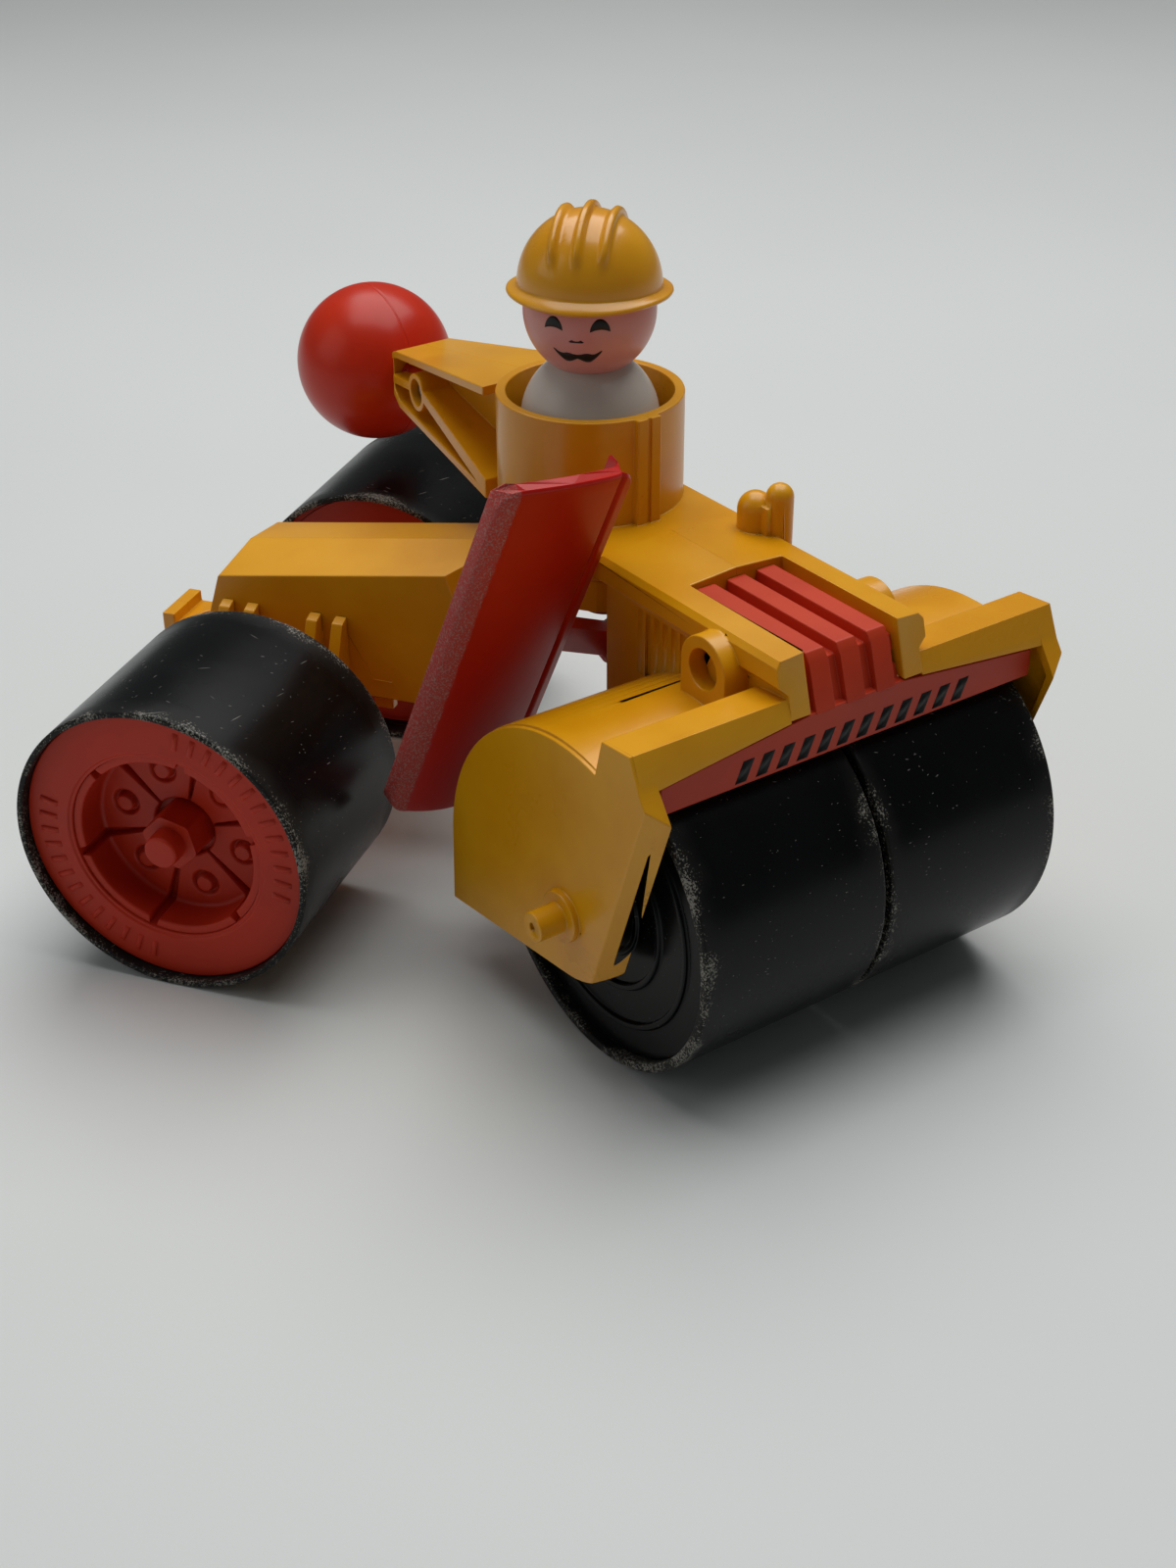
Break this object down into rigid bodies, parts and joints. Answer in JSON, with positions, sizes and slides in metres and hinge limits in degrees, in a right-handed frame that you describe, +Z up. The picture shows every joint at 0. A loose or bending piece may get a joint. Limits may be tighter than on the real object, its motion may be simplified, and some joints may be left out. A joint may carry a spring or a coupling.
{
  "type": "toy road roller",
  "caption": "Articulated toy road roller with a split front drum, two rear rollers, a swinging scraper blade, a ball-ended boom and a peg driver that turns in an open cab.",
  "frame": {"origin": "middle of the footprint's bounding rectangle, on the floor", "axes": "+X is forward for the front half (towards the drum), +Y is its left, +Z is up; the rear half stands turned by 36 degrees about the kingpin"},
  "size_m": [0.2154, 0.1768, 0.1444],
  "materials": {
    "yellow_plastic": "worn gloss moulding, chrome yellow",
    "orange_plastic": "satin orange-red moulding",
    "red_plastic": "satin red moulding with a rubbed wearing edge",
    "black_plastic": "satin black with pale scuffs",
    "white_plastic": "smooth white",
    "skin_plastic": "smooth pink",
    "steel": "plain bright steel"
  },
  "bodies": {
    "front_frame": {"front_shell_left": "yellow_plastic", "front_shell_right": "yellow_plastic", "grille_insert": "orange_plastic", "front_axle": "steel", "drum_washers": "white_plastic", "kingpin": "steel", "ball_handle": "orange_plastic", "boom_rivet": "steel", "front_screws": "steel", "blade_pivot_pin": "steel", "blade_washer": "white_plastic"},
    "rear_frame": {"rear_shell_left": "yellow_plastic", "rear_shell_right": "yellow_plastic", "kingpin_bush": "white_plastic", "rear_axle": "steel", "rear_screws": "steel", "axle_cap_left": "orange_plastic", "axle_cap_right": "orange_plastic"},
    "drum_left": {"drum_sleeve_left": "black_plastic", "drum_outer_disc_left": "black_plastic", "drum_inner_disc_left": "black_plastic"},
    "drum_right": {"drum_sleeve_right": "black_plastic", "drum_outer_disc_right": "black_plastic", "drum_inner_disc_right": "black_plastic"},
    "wheel_left": {"rear_hub_left": "orange_plastic", "rear_tyre_left": "black_plastic", "rear_back_disc_left": "black_plastic"},
    "wheel_right": {"rear_hub_right": "orange_plastic", "rear_tyre_right": "black_plastic", "rear_back_disc_right": "black_plastic"},
    "scraper": {"blade": "red_plastic", "blade_arm": "red_plastic", "blade_screws": "steel"},
    "driver": {"driver_body": "white_plastic", "driver_head": "skin_plastic", "driver_hat": "yellow_plastic"}
  },
  "joints": [
    {"name": "steering", "type": "hinge", "parent": "front_frame", "child": "rear_frame", "pos_m": [0.01699, 0.03121, 0.066], "axis": [0, 0, 1], "range_deg": [-72, 0]},
    {"name": "drum_left_spin", "type": "hinge", "parent": "front_frame", "child": "drum_left", "pos_m": [0.07349, 0.05311, 0.0342], "axis": [0, 1, 0], "continuous": true},
    {"name": "drum_right_spin", "type": "hinge", "parent": "front_frame", "child": "drum_right", "pos_m": [0.07349, 0.00931, 0.0342], "axis": [0, 1, 0], "continuous": true},
    {"name": "wheel_left_spin", "type": "hinge", "parent": "rear_frame", "child": "wheel_left", "pos_m": [-0.06878, 0.03477, 0.0316], "axis": [-0.5878, 0.809, 0], "continuous": true},
    {"name": "wheel_right_spin", "type": "hinge", "parent": "rear_frame", "child": "wheel_right", "pos_m": [-0.00613, -0.05147, 0.0316], "axis": [-0.5878, 0.809, 0], "continuous": true},
    {"name": "blade_swing", "type": "hinge", "parent": "front_frame", "child": "scraper", "pos_m": [0.02819, 0.03121, 0.052], "axis": [0.9336, 0, -0.3584], "range_deg": [0, 38]},
    {"name": "driver_turn", "type": "hinge", "parent": "front_frame", "child": "driver", "pos_m": [0.01169, 0.03121, 0.1], "axis": [0, 0, 1], "continuous": true}
  ]
}
